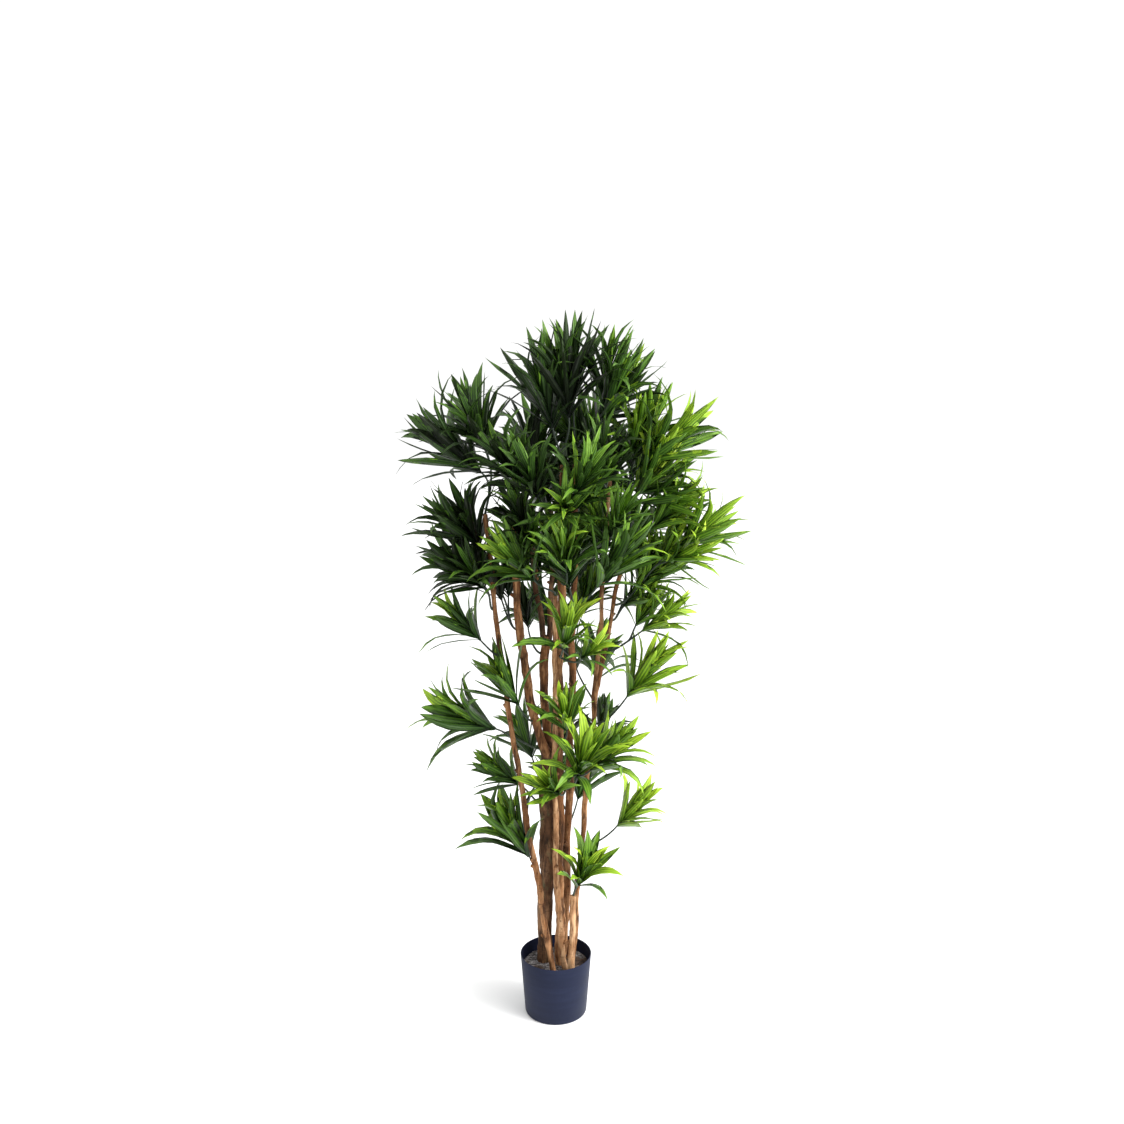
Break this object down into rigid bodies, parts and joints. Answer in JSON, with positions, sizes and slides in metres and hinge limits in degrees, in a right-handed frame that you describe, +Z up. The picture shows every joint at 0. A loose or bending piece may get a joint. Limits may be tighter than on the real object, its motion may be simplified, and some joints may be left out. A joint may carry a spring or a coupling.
{
  "type": "artificial song of india tree in a pot",
  "caption": "Tall artificial potted tree: bundled natural stems in a plain round pot, with heads of strap leaves on thin stalks all the way up.",
  "frame": {"origin": "centre of the pot's flat underside, which stands on the floor", "axes": "+Z up along the stems, -Y towards the side that faces the room, +X to that side's right"},
  "size_m": [0.8573, 0.6559, 1.8008],
  "materials": {
    "pot": "matt moulded plastic, dark blue-grey",
    "fill": "rough poured filling, pale grey strands on dark earthy brown",
    "bark_red": "dry natural bark, red-brown",
    "bark_tan": "dry natural bark, light tan",
    "bark_dark": "dry natural bark, dark brown",
    "leaf_deep": "soft satin leaf, deep green",
    "leaf_mid": "soft satin leaf, mid green",
    "leaf_lime": "soft satin leaf, yellow-green"
  },
  "bodies": {
    "root": {"bough_left": "bark_red", "bough_middle": "bark_red", "bough_upper_left": "bark_dark", "bough_upper_right": "bark_dark", "fill": "fill", "pot": "pot", "spray_back_left_a": "leaf_deep", "spray_back_right_a": "leaf_deep", "spray_crown_front_a": "leaf_mid", "spray_crown_front_b": "leaf_mid", "spray_crown_front_c": "leaf_mid", "spray_crown_front_d": "leaf_mid", "spray_crown_front_e": "leaf_mid", "spray_crown_front_f": "leaf_deep", "spray_crown_front_g": "leaf_deep", "spray_crown_left_a": "leaf_deep", "spray_crown_left_b": "leaf_deep", "spray_crown_left_c": "leaf_deep", "spray_crown_left_d": "leaf_deep", "spray_crown_right_a": "leaf_mid", "spray_crown_right_b": "leaf_lime", "spray_crown_right_c": "leaf_mid", "spray_far_1": "leaf_mid", "spray_far_10": "leaf_mid", "spray_far_2": "leaf_mid", "spray_far_3": "leaf_mid", "spray_far_4": "leaf_mid", "spray_far_5": "leaf_mid", "spray_far_6": "leaf_mid", "spray_far_7": "leaf_mid", "spray_far_8": "leaf_mid", "spray_far_9": "leaf_mid", "spray_front_a": "leaf_lime", "spray_front_b": "leaf_lime", "spray_front_c": "leaf_lime", "spray_front_d": "leaf_lime", "spray_left_a": "leaf_mid", "spray_left_b": "leaf_mid", "spray_left_c": "leaf_mid", "spray_left_d": "leaf_mid", "spray_low_front": "leaf_lime", "spray_low_left": "leaf_mid", "spray_low_right": "leaf_lime", "spray_right_a": "leaf_lime", "spray_right_b": "leaf_lime", "spray_top_a": "leaf_deep", "spray_top_b": "leaf_deep", "spray_top_c": "leaf_mid", "spray_top_left_a": "leaf_deep", "spray_top_left_b": "leaf_deep", "spray_top_left_c": "leaf_deep", "spray_top_right_a": "leaf_lime", "stem_back": "bark_red", "stem_centre": "bark_red", "stem_front": "bark_tan", "stem_left_slim": "bark_red", "stem_right_inner": "bark_tan", "stem_right_outer": "bark_red", "stem_short": "bark_tan", "stem_thick": "bark_dark"}
  },
  "joints": []
}
